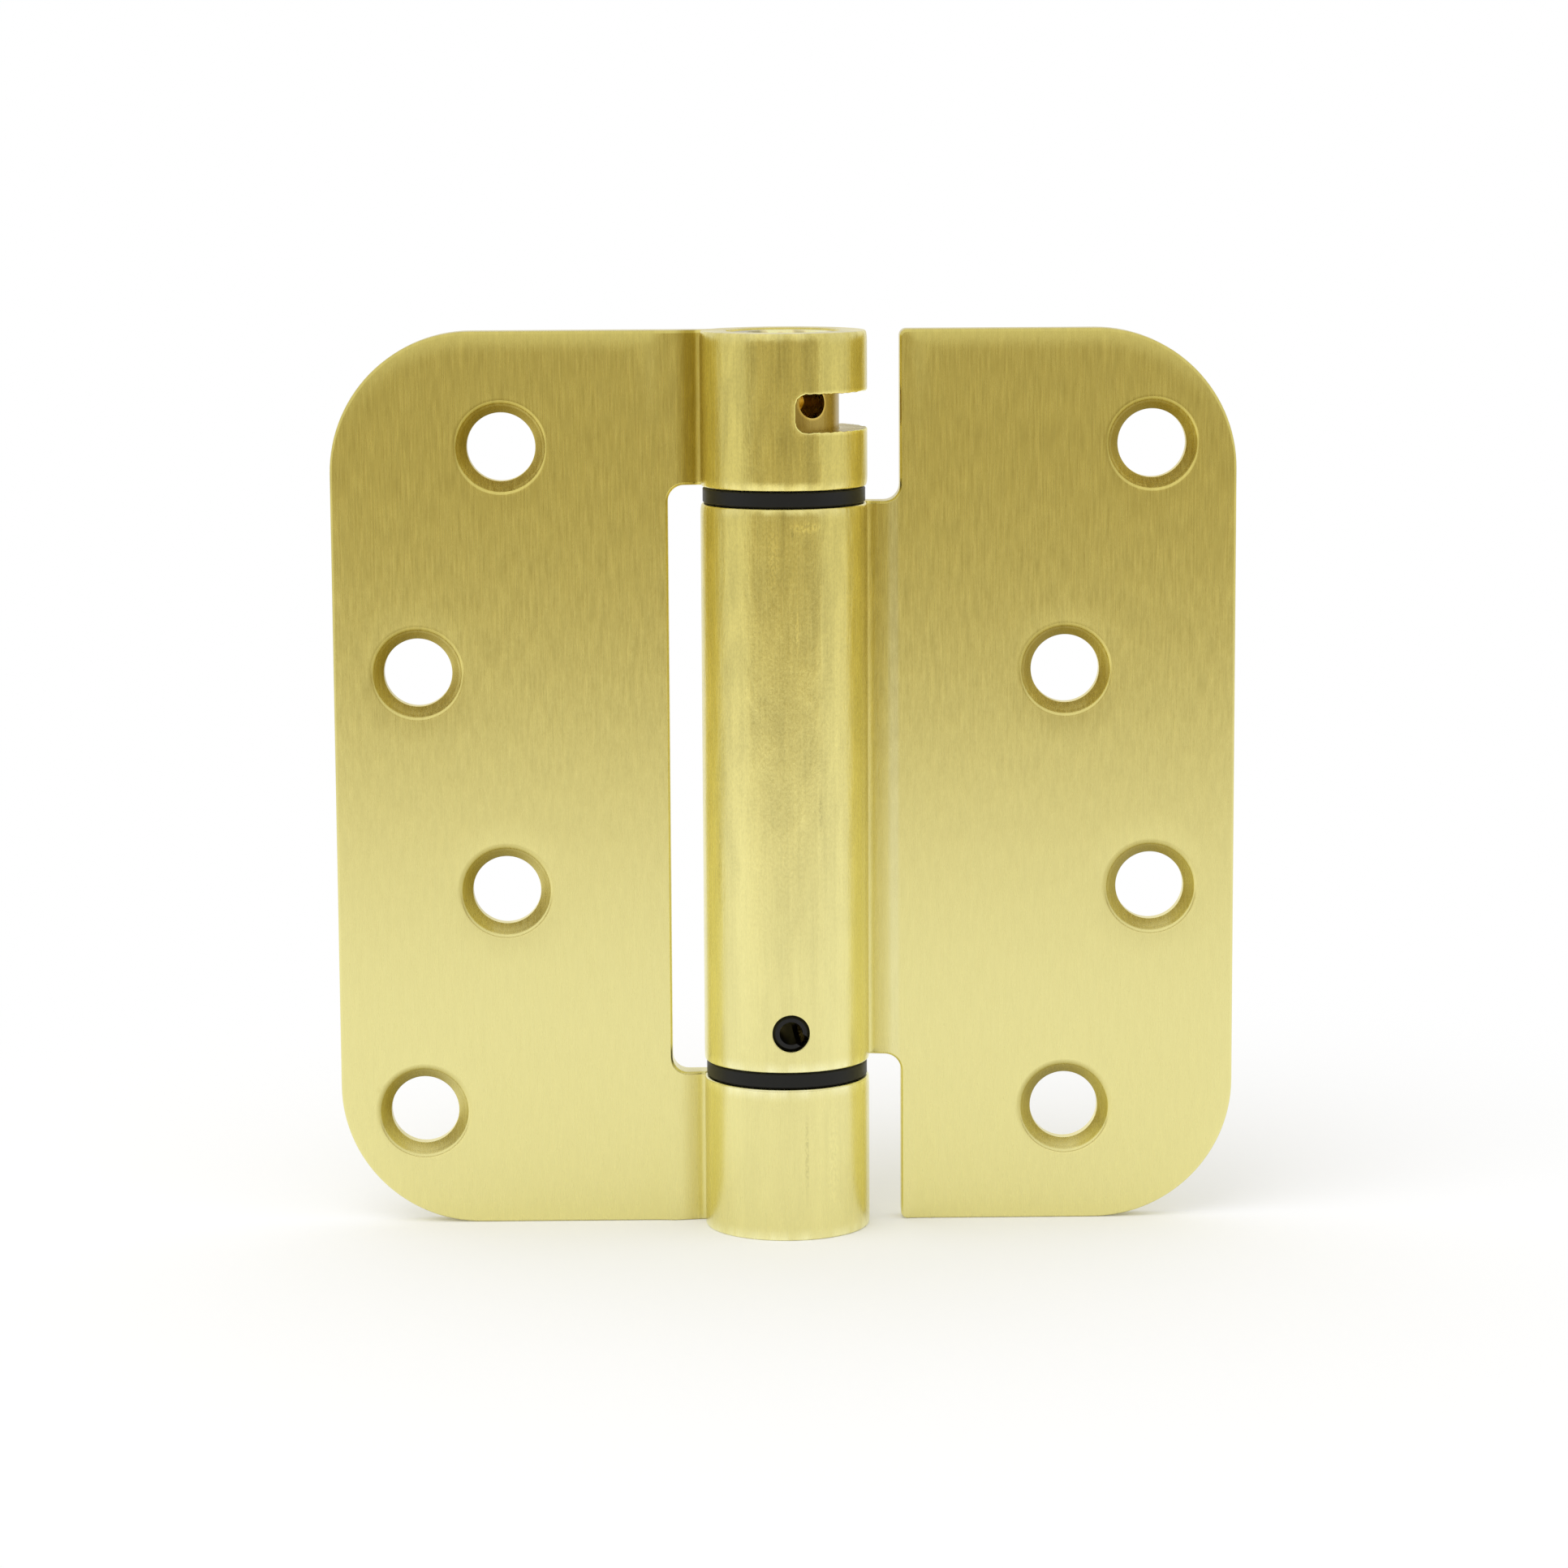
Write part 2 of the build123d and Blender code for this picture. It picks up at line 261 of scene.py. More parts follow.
def rounded_loop(corners, breaks=()):
    """Closed loop through corners (run, height, radius), counter-clockwise, with outward normals.

    Its straight level edges have a point at each of the runs in breaks."""
    points, normals = [], []
    count = len(corners)
    arcs = []
    for i, (s, z, radius) in enumerate(corners):
        here = np.array([s, z])
        before = np.array(corners[i - 1][:2]) - here
        after = np.array(corners[(i + 1) % count][:2]) - here
        before, after = before / np.linalg.norm(before), after / np.linalg.norm(after)
        bulge = np.sign(before[1] * after[0] - before[0] * after[1])
        centre = here + (before + after) * radius
        steps = ARC_STEPS if radius > 5 else SMALL_ARC_STEPS
        start = -after * bulge
        arc = []
        for k in range(steps + 1):
            turn = pi / 2 * k / steps
            ray = start * cos(turn) + (-before * bulge) * sin(turn)
            arc.append((centre + ray * radius * bulge, ray))
        arcs.append(arc)
    for i, arc in enumerate(arcs):
        for point, normal in arc:
            points.append(point)
            normals.append(normal)
        end, begin = arc[-1][0], arcs[(i + 1) % count][0][0]
        length = np.linalg.norm(begin - end)
        if abs(begin[1] - end[1]) < 1e-6:
            low, high = sorted((begin[0], end[0]))
            inner = [b for b in breaks if low + 0.1 < b < high - 0.1]
            flat_end = min(high, EDGE_LIMIT)
            if flat_end > low:
                cuts = max(2, int((flat_end - low) / EDGE_STEP))
                inner += list(np.linspace(low, flat_end, cuts + 1)[1:-1])
            inner = sorted(inner, reverse=bool(begin[0] < end[0]))
            straight = [np.array([b, end[1]]) for b in inner]
        else:
            cuts = max(1, int(length / EDGE_STEP))
            straight = [end + (begin - end) * k / cuts for k in range(1, cuts)]
        for point in straight:
            points.append(point)
            normals.append(arc[-1][1])
    return np.array(points), np.array(normals)


def inside(points, loop):
    """Which points lie inside a closed loop."""
    x, y = points[:, 0][:, None], points[:, 1][:, None]
    ax, ay = loop[:, 0], loop[:, 1]
    bx, by = np.roll(ax, -1), np.roll(ay, -1)
    crosses = (ay > y) != (by > y)
    with np.errstate(divide="ignore", invalid="ignore"):
        at = (bx - ax) * (y - ay) / (by - ay) + ax
    return np.sum(crosses & (x < at), 1) % 2 == 1


def nearest(points, loop):
    """Distance from each point to a closed loop, and the direction towards it."""
    a, b = loop, np.roll(loop, -1, axis=0)
    step = b - a
    share = np.einsum("pij,ij->pi", points[:, None, :] - a[None], step) / np.sum(step**2, 1)
    foot = a[None] + np.clip(share, 0, 1)[..., None] * step[None]
    gap = points[:, None, :] - foot
    length = np.linalg.norm(gap, axis=2)
    best = np.argmin(length, 1)
    rows = np.arange(len(points))
    distance = length[rows, best]
    direction = -gap[rows, best] / np.maximum(distance, 1e-9)[:, None]
    return distance, direction


class Sheet:
    """Vertices of a leaf in its sheet's own space: run, height, depth, and how far the edge turns."""

    def __init__(self):
        self.place, self.depth, self.turn, self.out, self.faces = [], [], [], [], []

    def add(self, points, depth, turn, out):
        start = len(self.place)
        points = np.asarray(points)
        out = np.broadcast_to(out, points.shape)
        for p, o in zip(points, out):
            self.place.append(p)
            self.depth.append(depth)
            self.turn.append(turn)
            self.out.append(o)
        return list(range(start, start + len(points)))

    def chain(self, rings, out):
        """Rings of vertices joined by bands. Each ring is (points, depth, turn in degrees)."""
        ids = [self.add(points, depth, turn, out) for points, depth, turn in rings]
        for lower, upper in zip(ids, ids[1:]):
            for i in range(len(lower)):
                j = (i + 1) % len(lower)
                self.faces.append((lower[i], lower[j], upper[j], upper[i]))
        return ids[0], ids[-1]

    def fill(self, outer, holes, lines, extra, depth, turn):
        """Fills a face between an outer ring and its holes, following lines of points."""
        ids = list(outer)
        edges = []

        def ring(ring_ids, first):
            edges.extend((first + i, first + (i + 1) % len(ring_ids)) for i in range(len(ring_ids)))

        ring(outer, 0)
        for hole in holes:
            ring(hole, len(ids))
            ids += hole
        for line in lines:
            start = len(ids)
            ids += self.add(line, depth, turn, (0, 0))
            edges.extend((start + i, start + i + 1) for i in range(len(line) - 1))
        if len(extra):
            ids += self.add(extra, depth, turn, (0, 0))
        flat = [Vector(self.place[i]) for i in ids]
        points, _, faces, origin, _, _ = delaunay_2d_cdt(flat, edges, [], 0, 1e-5)
        known = []
        for point, source in zip(points, origin):
            if source:
                known.append(ids[source[0]])
            else:
                known += self.add([(point.x, point.y)], depth, turn, (0, 0))
        corners = np.array([[points[i][:] for i in face] for face in faces])
        middle = corners.mean(1)
        keep = inside(middle, np.array([self.place[i] for i in outer]))
        for hole in holes:
            keep &= ~inside(middle, np.array([self.place[i] for i in hole]))
        for face, good in zip(faces, keep):
            if good:
                self.faces.append(tuple(known[i] for i in face))


def columns(run, loops):
    """Upright lines of face points at one run, between the loops that bound the face."""
    heights = []
    for loop in loops:
        a, b = loop, np.roll(loop, -1, axis=0)
        crossed = (a[:, 0] > run + 1e-7) != (b[:, 0] > run + 1e-7)
        a, b = a[crossed], b[crossed]
        heights += list(a[:, 1] + (b[:, 1] - a[:, 1]) * (run - a[:, 0]) / (b[:, 0] - a[:, 0]))
    heights.sort()
    lines = []
    for low, high in zip(heights[::2], heights[1::2]):
        if high - low < 4 * COLUMN_GAP:
            continue
        steps = [gap for gap in COLUMN_STEPS if gap < (high - low) / 2]
        middle = np.linspace(low + COLUMN_STEPS[-1], high - COLUMN_STEPS[-1], 6)[1:-1]
        levels = [low + gap for gap in steps] + [high - gap for gap in steps]
        levels += [z for z in middle if low < z < high]
        lines.append([(run, z) for z in sorted(set(levels))])
    return lines


def edge_rings(points, normals, front_round, back_round):
    """Rings from the front face round a sheared edge to the back face."""
    rings = []
    for k in range(ROUND_STEPS + 1):
        turn = pi / 2 * k / ROUND_STEPS
        inset = front_round * (1 - sin(turn))
        rings.append((points - normals * inset, front_round * (1 - cos(turn)), degrees(turn)))
    for k in range(ROUND_STEPS + 1):
        turn = pi / 2 * k / ROUND_STEPS
        inset = back_round * (1 - cos(turn))
        rings.append((points - normals * inset, SHEET - back_round * (1 - sin(turn)), 90 + degrees(turn)))
    return rings


def screw_rings(centre):
    """Rings of a countersunk screw hole, from the front face to the back face."""
    lean = pi / 2 - SINK_HALF_ANGLE
    rise = SINK_ROUND * tan(lean / 2)
    sizes = []
    for k in range(6):
        turn = lean * k / 5
        sizes.append((SINK + rise - SINK_ROUND * sin(turn), SINK_ROUND * (1 - cos(turn)), degrees(turn)))
    throat = (SINK - SCREW) / tan(SINK_HALF_ANGLE) + HOLE_ROUND * tan((pi / 2 - lean) / 2)
    for k in range(4):
        turn = lean + (pi / 2 - lean) * k / 3
        sizes.append((SCREW + HOLE_ROUND * (1 - sin(turn)), throat - HOLE_ROUND * cos(turn), degrees(turn)))
    for k in range(ROUND_STEPS + 1):
        turn = pi / 2 * k / ROUND_STEPS
        sizes.append((SCREW + BACK_ROUND * (1 - cos(turn)), SHEET - BACK_ROUND * (1 - sin(turn)),
                      90 + degrees(turn)))
    angles = np.linspace(0, 2 * pi, HOLE_STEPS, endpoint=False)
    ray = np.stack([np.cos(angles), np.sin(angles)], 1)
    rings = [(np.array(centre) + ray * radius, depth, turn) for radius, depth, turn in sizes]
    return rings, -ray


def halo_points(centre):
    """Face points round a screw hole, where the face dips towards it."""
    angles = np.linspace(0, 2 * pi, HOLE_STEPS // 2, endpoint=False)
    ray = np.stack([np.cos(angles), np.sin(angles)], 1)
    start = SINK + SINK_ROUND / 2
    return [np.array(centre) + ray * (start + HALO_WIDTH * share) for share in HALO_SHARES]


def leaf_mesh(name, corners, ends, screws, side, roll_holes):
    """A leaf as one sheet mesh, with soft edges and holes.

    ends are the heights of its knuckle's ends, and side is 1, or -1 for the leaf towards -X."""
    breaks = [s for s in SECTION[:, 0] if s > EDGE_LIMIT]
    outline, normals = rounded_loop(corners, breaks)
    sheet = Sheet()
    front, back = sheet.chain(edge_rings(outline, normals, EDGE_ROUND, BACK_ROUND), normals)
    front_holes, back_holes = [], []
    for centre in screws:
        rings, out = screw_rings(centre)
        first, last = sheet.chain(rings, out)
        front_holes.append(first)
        back_holes.append(last)
    for rings, out in roll_holes:
        first, last = sheet.chain(rings, out)
        front_holes.append(first)
        back_holes.append(last)
    for ring, holes, depth, turn, crowned in (
        (front, front_holes, 0.0, 0.0, True), (back, back_holes, SHEET, 180.0, False),
    ):
        loop = np.array([sheet.place[i] for i in ring])
        hole_loops = [np.array([sheet.place[i] for i in hole]) for hole in holes]
        lines = [line for s in breaks for line in columns(s, [loop, *hole_loops])]
        extra = []
        for inset in FACE_INSETS:
            ring_points = outline - normals * inset
            distance = nearest(ring_points, outline)[0]
            flat = ring_points[:, 0] < EDGE_LIMIT - 0.1
            extra.append(ring_points[flat & (distance > inset - 0.02) & inside(ring_points, loop)])
        if crowned:
            extra += [points for centre in screws for points in halo_points(centre)]
        sheet.fill(ring, holes, lines, np.concatenate(extra), depth, turn)
    return build_sheet(name, sheet, outline, ends, screws, side)


def knuckle_gap(z, ends):
    """Distance from each height to the nearest end of its knuckle."""
    return np.abs(np.abs(z)[:, None] - np.array(ends)[None]).min(1)


def roll_share(run):
    """1 on the roll, and 0 on the flat sheet and at the roll's end."""
    start = np.clip((run - ROLL_START - ROLL_FADE_START) / ROLL_FADE_LENGTH, 0, 1)
    return start * np.clip((RUN_END - run) / ROLL_END_FADE, 0, 1)


def ragged_at(run):
    """Uneven wear along the sheet, from -1 to 1."""
    return np.interp(run, ragged_run, ragged_size)


def face_crown(place, outline, screws):
    """How far the front face drops towards its edges and screw holes, and its slope there."""
    distance, towards = nearest(place, outline)
    flat = np.clip((WIDTH - EDGE - place[:, 0]) / CROWN_FADE, 0, 1)
    near = np.clip(1 - distance / CROWN_WIDTH, 0, 1)
    drop = CROWN_DEPTH * near**2 * flat
    slope = (2 * CROWN_DEPTH / CROWN_WIDTH * near * flat)[:, None] * towards
    for centre in screws:
        ray = np.array(centre) - place
        away = np.linalg.norm(ray, axis=1)
        dip = np.clip(1 - (away - SINK) / HALO_WIDTH, 0, 1)
        drop += HALO_DEPTH * dip**2
        slope += (2 * HALO_DEPTH / HALO_WIDTH * dip / np.maximum(away, 1e-6))[:, None] * ray
    return drop, slope


def knuckle_crown(place, ends):
    """How far the barrel drops towards its knuckle's ends, and its slope there."""
    run, z = place.T
    near = np.clip(1 - knuckle_gap(z, ends) / KNUCKLE_CROWN_WIDTH, 0, 1)
    size = KNUCKLE_CROWN_DEPTH * near * roll_share(run) * (1 + RAGGED * ragged_at(run))
    size *= np.where(z > 0, 1.0, LOW_RIM_SHARE)
    outwards = np.sign(z) * np.sign(np.abs(z) - np.mean(ends))
    slope = np.zeros_like(place)
    slope[:, 1] = 2 * size / KNUCKLE_CROWN_WIDTH * outwards
    return size * near, slope


def sink_painted_light(painted_light, place, depth, screws, side):
    """Painted shade in the screw holes, darker up one side, and a painted reflection paler down the other.
    """
    for centre in screws:
        ray = (place - np.array(centre)) * (-side, 1)
        away = np.linalg.norm(ray, axis=1)
        amount = np.clip((SINK + SINK_SOFT - away) / SINK_SOFT / 2, 0, 1) * (depth < SHEET - 0.1)
        facing = (ray @ np.array(SINK_DARK_SIDE)) / np.maximum(away, 1e-6)
        dark, light = np.maximum(facing, 0), np.maximum(-facing, 0)
        painted_light[:, 0] += amount * (SINK_TINT + dark)
        painted_light[:, 1] += amount * (SINK_TONE - SINK_DARK_TONE * dark + SINK_PALE_TONE * light)
        painted_light[:, 2] += amount * SINK_PALE_TINT * light


def seam_painted_light(painted_light, place, depth, side):
    """Painted shade in the golden strip beside the seam, and painted highlights on the bright fillet and the
    door leaf's pale stripe.
    """
    run, z = place.T
    x = WIDTH - run
    in_front = (run < ROLL_START) * (depth < SHEET / 2)
    fillet = np.clip((BARREL + SEAM_FILLET_WIDTH - x) / FILLET_SOFT, 0, 1) * in_front
    strip = np.clip((STRIP_EDGE - x) / STRIP_SOFT, 0, 1) * in_front * (1 - fillet)
    painted_light[:, 0] += strip * np.where((z > 0) & (side < 0), 1.0, STRIP_ELSEWHERE)
    painted_light[:, 1] += SEAM_TONE * fillet * (z > 0)
    if side > 0:
        stripe = np.clip((x - STRIPE_START) / STRIPE_SOFT[0], 0, 1)
        stripe *= np.clip((STRIPE_END - x) / STRIPE_SOFT[1], 0, 1) * in_front
        painted_light[:, 2] += stripe * np.interp(z, [PAINTED_LIGHT_LOW, PAINTED_LIGHT_HIGH], [STRIPE_LOW_SHARE, 1.0])


def roll_painted_light(painted_light, place, depth, ends):
    """Painted highlights on the bright ragged rims at the knuckle's ends, and a painted reflection on the
    pale sides of the barrel.
    """
    run, z = place.T
    rim = np.clip(1 - knuckle_gap(z, ends) / RIM_WIDTH, 0, 1) * roll_share(run)
    rim *= (depth > SHEET / 2) * (1 + RIM_RAGGED * ragged_at(run))
    angle = radians(ROLL_FIRST) + (run - ROLL_START) / BARREL
    limb = np.clip((np.abs(np.cos(angle)) - LIMB_START) / (1 - LIMB_START), 0, 1) * roll_share(run)
    limb *= np.interp(z, [PAINTED_LIGHT_LOW, PAINTED_LIGHT_HIGH], [LIMB_LOW_SHARE, 1.0])
    painted_light[:, 1] += RIM_TONE * rim + LIMB_TONE * limb
    painted_light[:, 2] += RIM_TINT * rim + limb


def window_painted_light(painted_light, place, turn):
    """Painted shade on the window's golden cut walls, and a painted highlight on its bright outer lip."""
    low, high = window_span()
    middle = np.array([(low + high) / 2, WINDOW_Z])
    half = np.array([(high - low) / 2, WINDOW_HEIGHT / 2])
    corner = np.abs(place - middle) - half + WINDOW_CORNER
    gap = np.linalg.norm(np.maximum(corner, 0), axis=1) + np.minimum(corner.max(1), 0) - WINDOW_CORNER
    beside = np.clip(1 - np.abs(gap) / LIP_WIDTH, 0, 1)
    lip = beside * (turn > pi / 2 + 0.1)
    painted_light[:, 0] += CUT_TINT * beside * (np.abs(turn - pi / 2) < 0.1)
    painted_light[:, 1] += LIP_TONE * lip
    painted_light[:, 2] += lip


def facing_out(faces, points, normals):
    """The faces, turned round where they disagree with their vertices' normals."""
    turned = []
    for face in faces:
        a, b, c = points[face[0]], points[face[1]], points[face[2]]
        geometric = np.cross(b - a, c - a)
        if len(face) == 4:
            geometric = np.cross(c - a, points[face[3]] - b)
        wanted = normals[list(face)].sum(0)
        turned.append(face if geometric @ wanted > 0 else face[::-1])
    return turned


def build_sheet(name, sheet, outline, ends, screws, side):
    """Turns a sheet's vertices into an object, with exact normals.

    Its attributes are grain, the unrolled place, and the painted light and shade: a golden tint, a tone and
    a pale tint."""
    place, depth, turn = np.array(sheet.place), np.array(sheet.depth), np.radians(sheet.turn)
    out = np.array(sheet.out)
    run, z = place.T
    front, back = at_run(run, SECTION[:, 1:3]), at_run(run, SECTION[:, 3:5])
    front_n, back_n = at_run(run, FRONT_NORMAL), at_run(run, BACK_NORMAL)
    along = at_run(run, ALONG)
    front_drop, front_slope = face_crown(place, outline, screws)
    back_drop, back_slope = knuckle_crown(place, ends)

    share = np.clip(depth / SHEET, 0, 1)
    real = share + (front_drop * (1 - share) - back_drop * share) / SHEET
    flat_place = front + (back - front) * real[:, None]
    points = np.column_stack([flat_place[:, 0] * side, flat_place[:, 1], z]) * MM

    facing = np.where((turn <= pi / 2)[:, None], front_n, back_n)
    lean = out * np.sin(turn)[:, None]
    lean += front_slope * ((turn < pi / 2) * np.cos(turn))[:, None]
    lean += back_slope * ((turn > pi / 2) * -np.cos(turn))[:, None]
    level = facing * np.abs(np.cos(turn))[:, None] + along * lean[:, :1]
    normals = np.column_stack([level[:, 0] * side, level[:, 1], lean[:, 1]])
    normals /= np.maximum(np.linalg.norm(normals, axis=1), 1e-9)[:, None]

    # Painted light and shade on the sheet, kept as an attribute
    painted_light = np.zeros((len(place), 3))
    sink_painted_light(painted_light, place, depth, screws, side)
    seam_painted_light(painted_light, place, depth, side)
    roll_painted_light(painted_light, place, depth, ends)
    if side < 0:
        window_painted_light(painted_light, place, turn)
    grain = np.column_stack([run, z, depth])
    faces = facing_out(sheet.faces, points, normals)
    return mesh_object(name, points, faces, normals, {"grain": grain, "painted_light": painted_light})


def mesh_object(name, points, faces, normals, attributes):
    """An object with these vertices, smooth faces, exact normals and vector attributes."""
    mesh = bpy.data.meshes.new(name)
    mesh.from_pydata([tuple(p) for p in points], [], faces)
    mesh.validate()
    mesh.polygons.foreach_set("use_smooth", [True] * len(mesh.polygons))
    for key, values in attributes.items():
        attribute = mesh.attributes.new(key, "FLOAT_VECTOR", "POINT")
        attribute.data.foreach_set("vector", np.asarray(values, np.float32).ravel())
    mesh.normals_split_custom_set_from_vertices([tuple(n) for n in normals])
    made = bpy.data.objects.new(name, mesh)
    bpy.context.scene.collection.objects.link(made)
    return made


ragged_run = np.linspace(0, RUN_END, RAGGED_STEPS)
ragged_size = rng.uniform(-1, 1, RAGGED_STEPS)


def window_span():
    """The window's first and last run."""
    return run_at(270 - WINDOW_END), run_at(270 - WINDOW_START)


def window_rings():
    """Rings of the window through the frame leaf's roll, with ragged cut edges."""
    low, high = window_span()
    half = WINDOW_HEIGHT / 2
    corners = [(low, WINDOW_Z - half, WINDOW_CORNER), (high, WINDOW_Z - half, WINDOW_CORNER),
               (high, WINDOW_Z + half, WINDOW_CORNER), (low, WINDOW_Z + half, WINDOW_CORNER)]
    breaks = np.linspace(low, high, WINDOW_STEPS)
    loop, normals = rounded_loop(corners, breaks)
    rough = rng.uniform(-1, 1, len(loop)) * WINDOW_ROUGHNESS
    rings = []
    for inset, depth, turn in ((0.1, 0, 0), (0.03, 0.03, 45), (0, 0.1, 90)):
        rings.append((loop + normals * inset, depth, turn))
    ragged = loop + normals * rough[:, None]
    for inset, gap, turn in ((0, 0.16, 90), (0.03, 0.07, 125), (0.09, 0.02, 155), (0.16, 0, 180)):
        rings.append((ragged + normals * inset, SHEET - gap, turn))
    return rings, -normals


def pin_hole_rings():
    """Rings of the spring pin's hole through the door leaf's roll."""
    middle = run_at(270 + PIN_ANGLE)
    angles = np.linspace(0, 2 * pi, PIN_HOLE_STEPS, endpoint=False)
    rings = []
    for radius, depth, turn in (
        (PIN_HOLE + 0.1, 0, 0), (PIN_HOLE, 0.1, 90), (PIN_HOLE, SHEET - 0.14, 90),
        (PIN_HOLE + 0.04, SHEET - 0.04, 135), (PIN_HOLE + 0.14, SHEET, 180),
    ):
        reach = BORE + depth
        swing = np.arcsin(radius * np.cos(angles) / reach)
        rings.append((np.stack([middle + BARREL * swing, PIN_Z + radius * np.sin(angles)], 1), depth, turn))
    return rings, np.stack([-np.cos(angles), -np.sin(angles)], 1)


def screw_places(flip):
    """Screw holes of a leaf as (run, height)."""
    places = [(INNER_COLUMN, MIDDLE_ROW), (INNER_COLUMN, -END_ROW),
              (OUTER_COLUMN, END_ROW), (OUTER_COLUMN, -MIDDLE_ROW)]
    return [(WIDTH - x, flip * z) for x, z in places]


edge_run = WIDTH - EDGE
frame_corners = [
    (0, -TOP, CORNER), (RUN_END, -TOP, ROLL_CORNER), (RUN_END, -FRAME_KNUCKLE, ROLL_CORNER),
    (edge_run, -FRAME_KNUCKLE, NOTCH_RADIUS), (edge_run, FRAME_KNUCKLE, NOTCH_RADIUS),
    (RUN_END, FRAME_KNUCKLE, ROLL_CORNER), (RUN_END, TOP, ROLL_CORNER), (0, TOP, CORNER),
]
door_corners = [
    (0, -TOP, CORNER), (edge_run, -TOP, FREE_CORNER), (edge_run, -DOOR_KNUCKLE, NOTCH_RADIUS),
    (RUN_END, -DOOR_KNUCKLE, ROLL_CORNER), (RUN_END, DOOR_KNUCKLE, ROLL_CORNER),
    (edge_run, DOOR_KNUCKLE, NOTCH_RADIUS), (edge_run, TOP, FREE_CORNER), (0, TOP, CORNER),
]
frame_sheet = leaf_mesh("frame_leaf_sheet", frame_corners, (FRAME_KNUCKLE, TOP), screw_places(-1), -1,
                        [window_rings()])
door_sheet = leaf_mesh("door_leaf_sheet", door_corners, (-DOOR_KNUCKLE, DOOR_KNUCKLE), screw_places(1), 1,
                       [pin_hole_rings()])
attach(frame_sheet, "frame_leaf")
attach(door_sheet, "door_leaf")
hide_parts("frame_leaf")
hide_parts("door_leaf")


# Camera
CAMERA_PLACE = (-6.0, -514.2, 74.7)
CAMERA_PITCH = radians(8.29)
CAMERA_YAW = radians(-0.65)
CAMERA_ROLL = radians(-0.32)
CAMERA_LENS = 105.75


def add_camera():
    """The photograph's view: a long lens, level with the hinge's top and tipped down to it."""
    turn = Matrix.Rotation(CAMERA_YAW, 3, "Z") @ Matrix.Rotation(-CAMERA_PITCH, 3, "X")
    ahead, right, up = turn @ Vector((0, 1, 0)), turn @ Vector((1, 0, 0)), turn @ Vector((0, 0, 1))
    side = right * cos(CAMERA_ROLL) + up * sin(CAMERA_ROLL)
    above = up * cos(CAMERA_ROLL) - right * sin(CAMERA_ROLL)
    data = bpy.data.cameras.new("camera")
    data.lens = CAMERA_LENS
    data.sensor_width = 36
    data.clip_start, data.clip_end = 0.01, 20
    camera = bpy.data.objects.new("camera", data)
    camera.matrix_world = Matrix.Translation(Vector(CAMERA_PLACE) * MM) @ Matrix(
        (side, above, -ahead)).transposed().to_4x4()
    bpy.context.scene.collection.objects.link(camera)
    bpy.context.scene.camera = camera


add_camera()


def node_maker(tree):
    """A function that adds a node to the tree, with its inputs linked or set, and its settings."""

    def node(kind, inputs=(), **settings):
        made = tree.nodes.new(kind)
        for key, value in settings.items():
            setattr(made, key, value)
        for key, value in dict(inputs).items():
            if isinstance(value, bpy.types.NodeSocket):
                tree.links.new(value, made.inputs[key])
            else:
                made.inputs[key].default_value = value
        return made

    return node


def new_material(name):
    """A node material, its principled shader, a function that adds nodes to it, and its node tree."""
    material = bpy.data.materials.new(name)
    material.use_nodes = True
    tree = material.node_tree
    return material, tree.nodes["Principled BSDF"], node_maker(tree), tree


def streaks(node, place, across, along, detail, seed, distortion=0.0):
    """Noise drawn out along the height. across and along are its changes to the millimetre."""
    scaled = node("ShaderNodeVectorMath", {0: place, 1: (across, along, across / 4)}, operation="MULTIPLY")
    moved = node("ShaderNodeVectorMath", {0: scaled.outputs[0], 1: (seed, seed, seed)})
    return node("ShaderNodeTexNoise", {
        "Vector": moved.outputs[0], "Scale": 1.0, "Detail": detail, "Roughness": 0.55,
        "Distortion": distortion}).outputs[0]


def spread(node, value, low, high, to_low, to_high, smooth=False):
    """value mapped from one range to another."""
    return node("ShaderNodeMapRange", {
        "Value": value, "From Min": low, "From Max": high, "To Min": to_low, "To Max": to_high},
        interpolation_type="SMOOTHSTEP" if smooth else "LINEAR").outputs[0]


def times(node, a, b):
    return node("ShaderNodeMath", {0: a, 1: b}, operation="MULTIPLY").outputs[0]


def plus(node, a, b):
    return node("ShaderNodeMath", {0: a, 1: b}, operation="ADD").outputs[0]


def vector(node, operation, a, b):
    return node("ShaderNodeVectorMath", {0: a, 1: b}, operation=operation).outputs[0]


def length(node, value):
    return node("ShaderNodeVectorMath", {0: value}, operation="LENGTH").outputs["Value"]


def bumped(node, value, distance, normal):
    """The normal, bent by a value that stands for a height of this distance, in metres."""
    return node("ShaderNodeBump", {"Height": value, "Distance": distance, "Normal": normal}).outputs[0]


